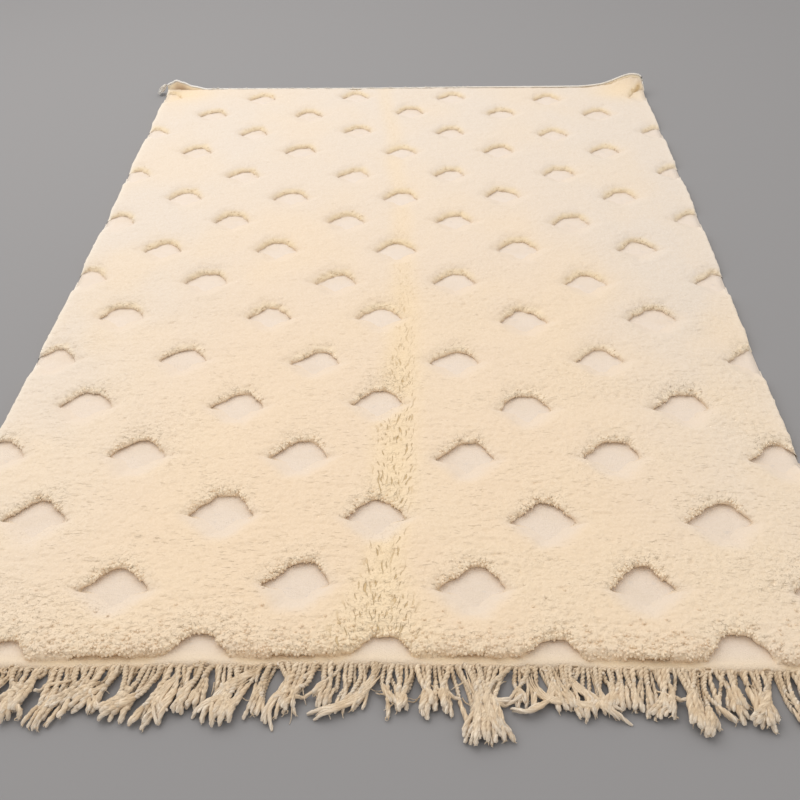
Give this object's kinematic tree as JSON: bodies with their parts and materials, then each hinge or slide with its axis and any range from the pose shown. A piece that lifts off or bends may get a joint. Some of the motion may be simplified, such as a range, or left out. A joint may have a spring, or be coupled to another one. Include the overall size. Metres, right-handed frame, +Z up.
{
  "type": "beni ourain rug",
  "caption": "Thick cream wool pile rug with staggered rows of sunken six-sided recesses, a corded fringe at one end and a thin cord along the other.",
  "frame": {"origin": "on the floor under the middle of the woven field, which is within 20 mm of the middle of the whole rug with its fringe", "axes": "+Y along the rug's length, from the fringe to the corded far end; +X across it, from the left edge to the right edge as seen from the fringe; +Z up"},
  "size_m": [1.786, 2.8467, 0.0687],
  "materials": {
    "pile_wool": "thick undyed cream wool pile, brushed, matt, on a thin bare ground weave",
    "fringe_yarn": "undyed warp yarn twisted into thick cords with frayed ends, matt, a little greyed",
    "cord_yarn": "undyed twisted wool cord, matt"
  },
  "bodies": {
    "root": {"woven_field": "pile_wool", "near_fringe": "fringe_yarn", "far_cord": "cord_yarn"}
  },
  "joints": []
}
